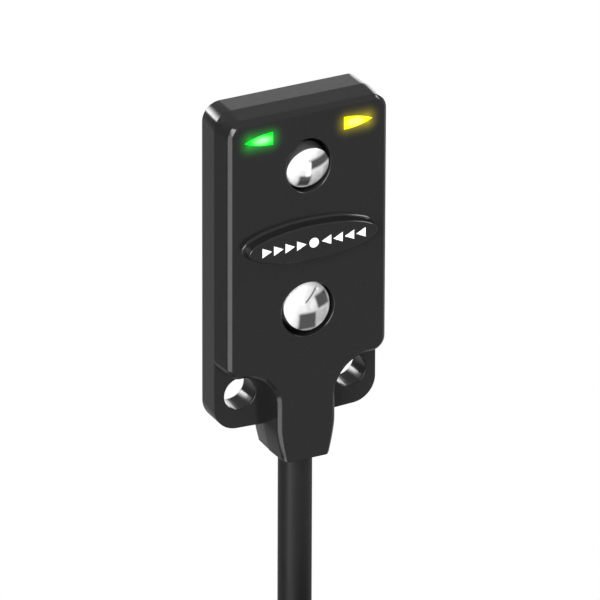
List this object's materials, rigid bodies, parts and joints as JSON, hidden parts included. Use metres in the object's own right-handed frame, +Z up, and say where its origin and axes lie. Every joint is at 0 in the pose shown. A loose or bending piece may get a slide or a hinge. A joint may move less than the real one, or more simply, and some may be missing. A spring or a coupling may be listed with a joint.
{
  "type": "photoelectric sensor",
  "caption": "Flat miniature photoelectric sensor with a convergent pair of lenses, status indicators, mounting ears and an integral coiled cable.",
  "frame": {"origin": "on the flat back, midway between the two mounting holes", "axes": "+Z up the body away from the cable, -Y the way the lenses look, +Y out of the flat back into the mounting surface, +X to the right seen from the front"},
  "size_m": [0.0447, 0.0139, 0.0919],
  "materials": {
    "housing": "moulded black ABS, semi-gloss",
    "carrier": "moulded matt black",
    "lens": "clear polished acrylic",
    "green_window": "translucent green light pipe",
    "yellow_window": "translucent yellow light pipe",
    "board": "green solder resist on glass epoxy",
    "led_body": "clear resin on a white base",
    "chip_body": "black moulded epoxy",
    "ceramic": "tan fired ceramic",
    "brown_insulation": "smooth PVC",
    "black_insulation": "smooth PVC",
    "blue_insulation": "smooth PVC",
    "plated_steel": "tin plated",
    "jacket": "black PVC jacket, slightly matt",
    "tie": "black nylon"
  },
  "bodies": {
    "root": {"front_housing": "housing", "back_cover": "housing", "optics_carrier": "carrier", "upper_lens": "lens", "lower_lens": "lens", "power_indicator_window": "green_window", "output_indicator_window": "yellow_window", "circuit_board": "board", "emitter_led": "led_body", "photodetector": "chip_body", "power_led_chip": "led_body", "output_led_chip": "led_body", "controller_chip": "chip_body", "output_transistor": "chip_body", "voltage_regulator": "chip_body", "protection_diode": "chip_body", "capacitor_1": "ceramic", "capacitor_2": "ceramic", "capacitor_3": "ceramic", "resistor_1": "chip_body", "resistor_2": "chip_body", "resistor_3": "chip_body", "resistor_4": "chip_body", "resistor_5": "chip_body", "wire_brown": "brown_insulation", "wire_black": "black_insulation", "wire_blue": "blue_insulation", "crimp_ring": "plated_steel", "cable_lead": "jacket", "cable_coil": "jacket", "cable_tail": "jacket", "coil_tie_1": "tie", "coil_tie_2": "tie", "lead_brown": "brown_insulation", "lead_black": "black_insulation", "lead_blue": "blue_insulation"}
  },
  "joints": []
}
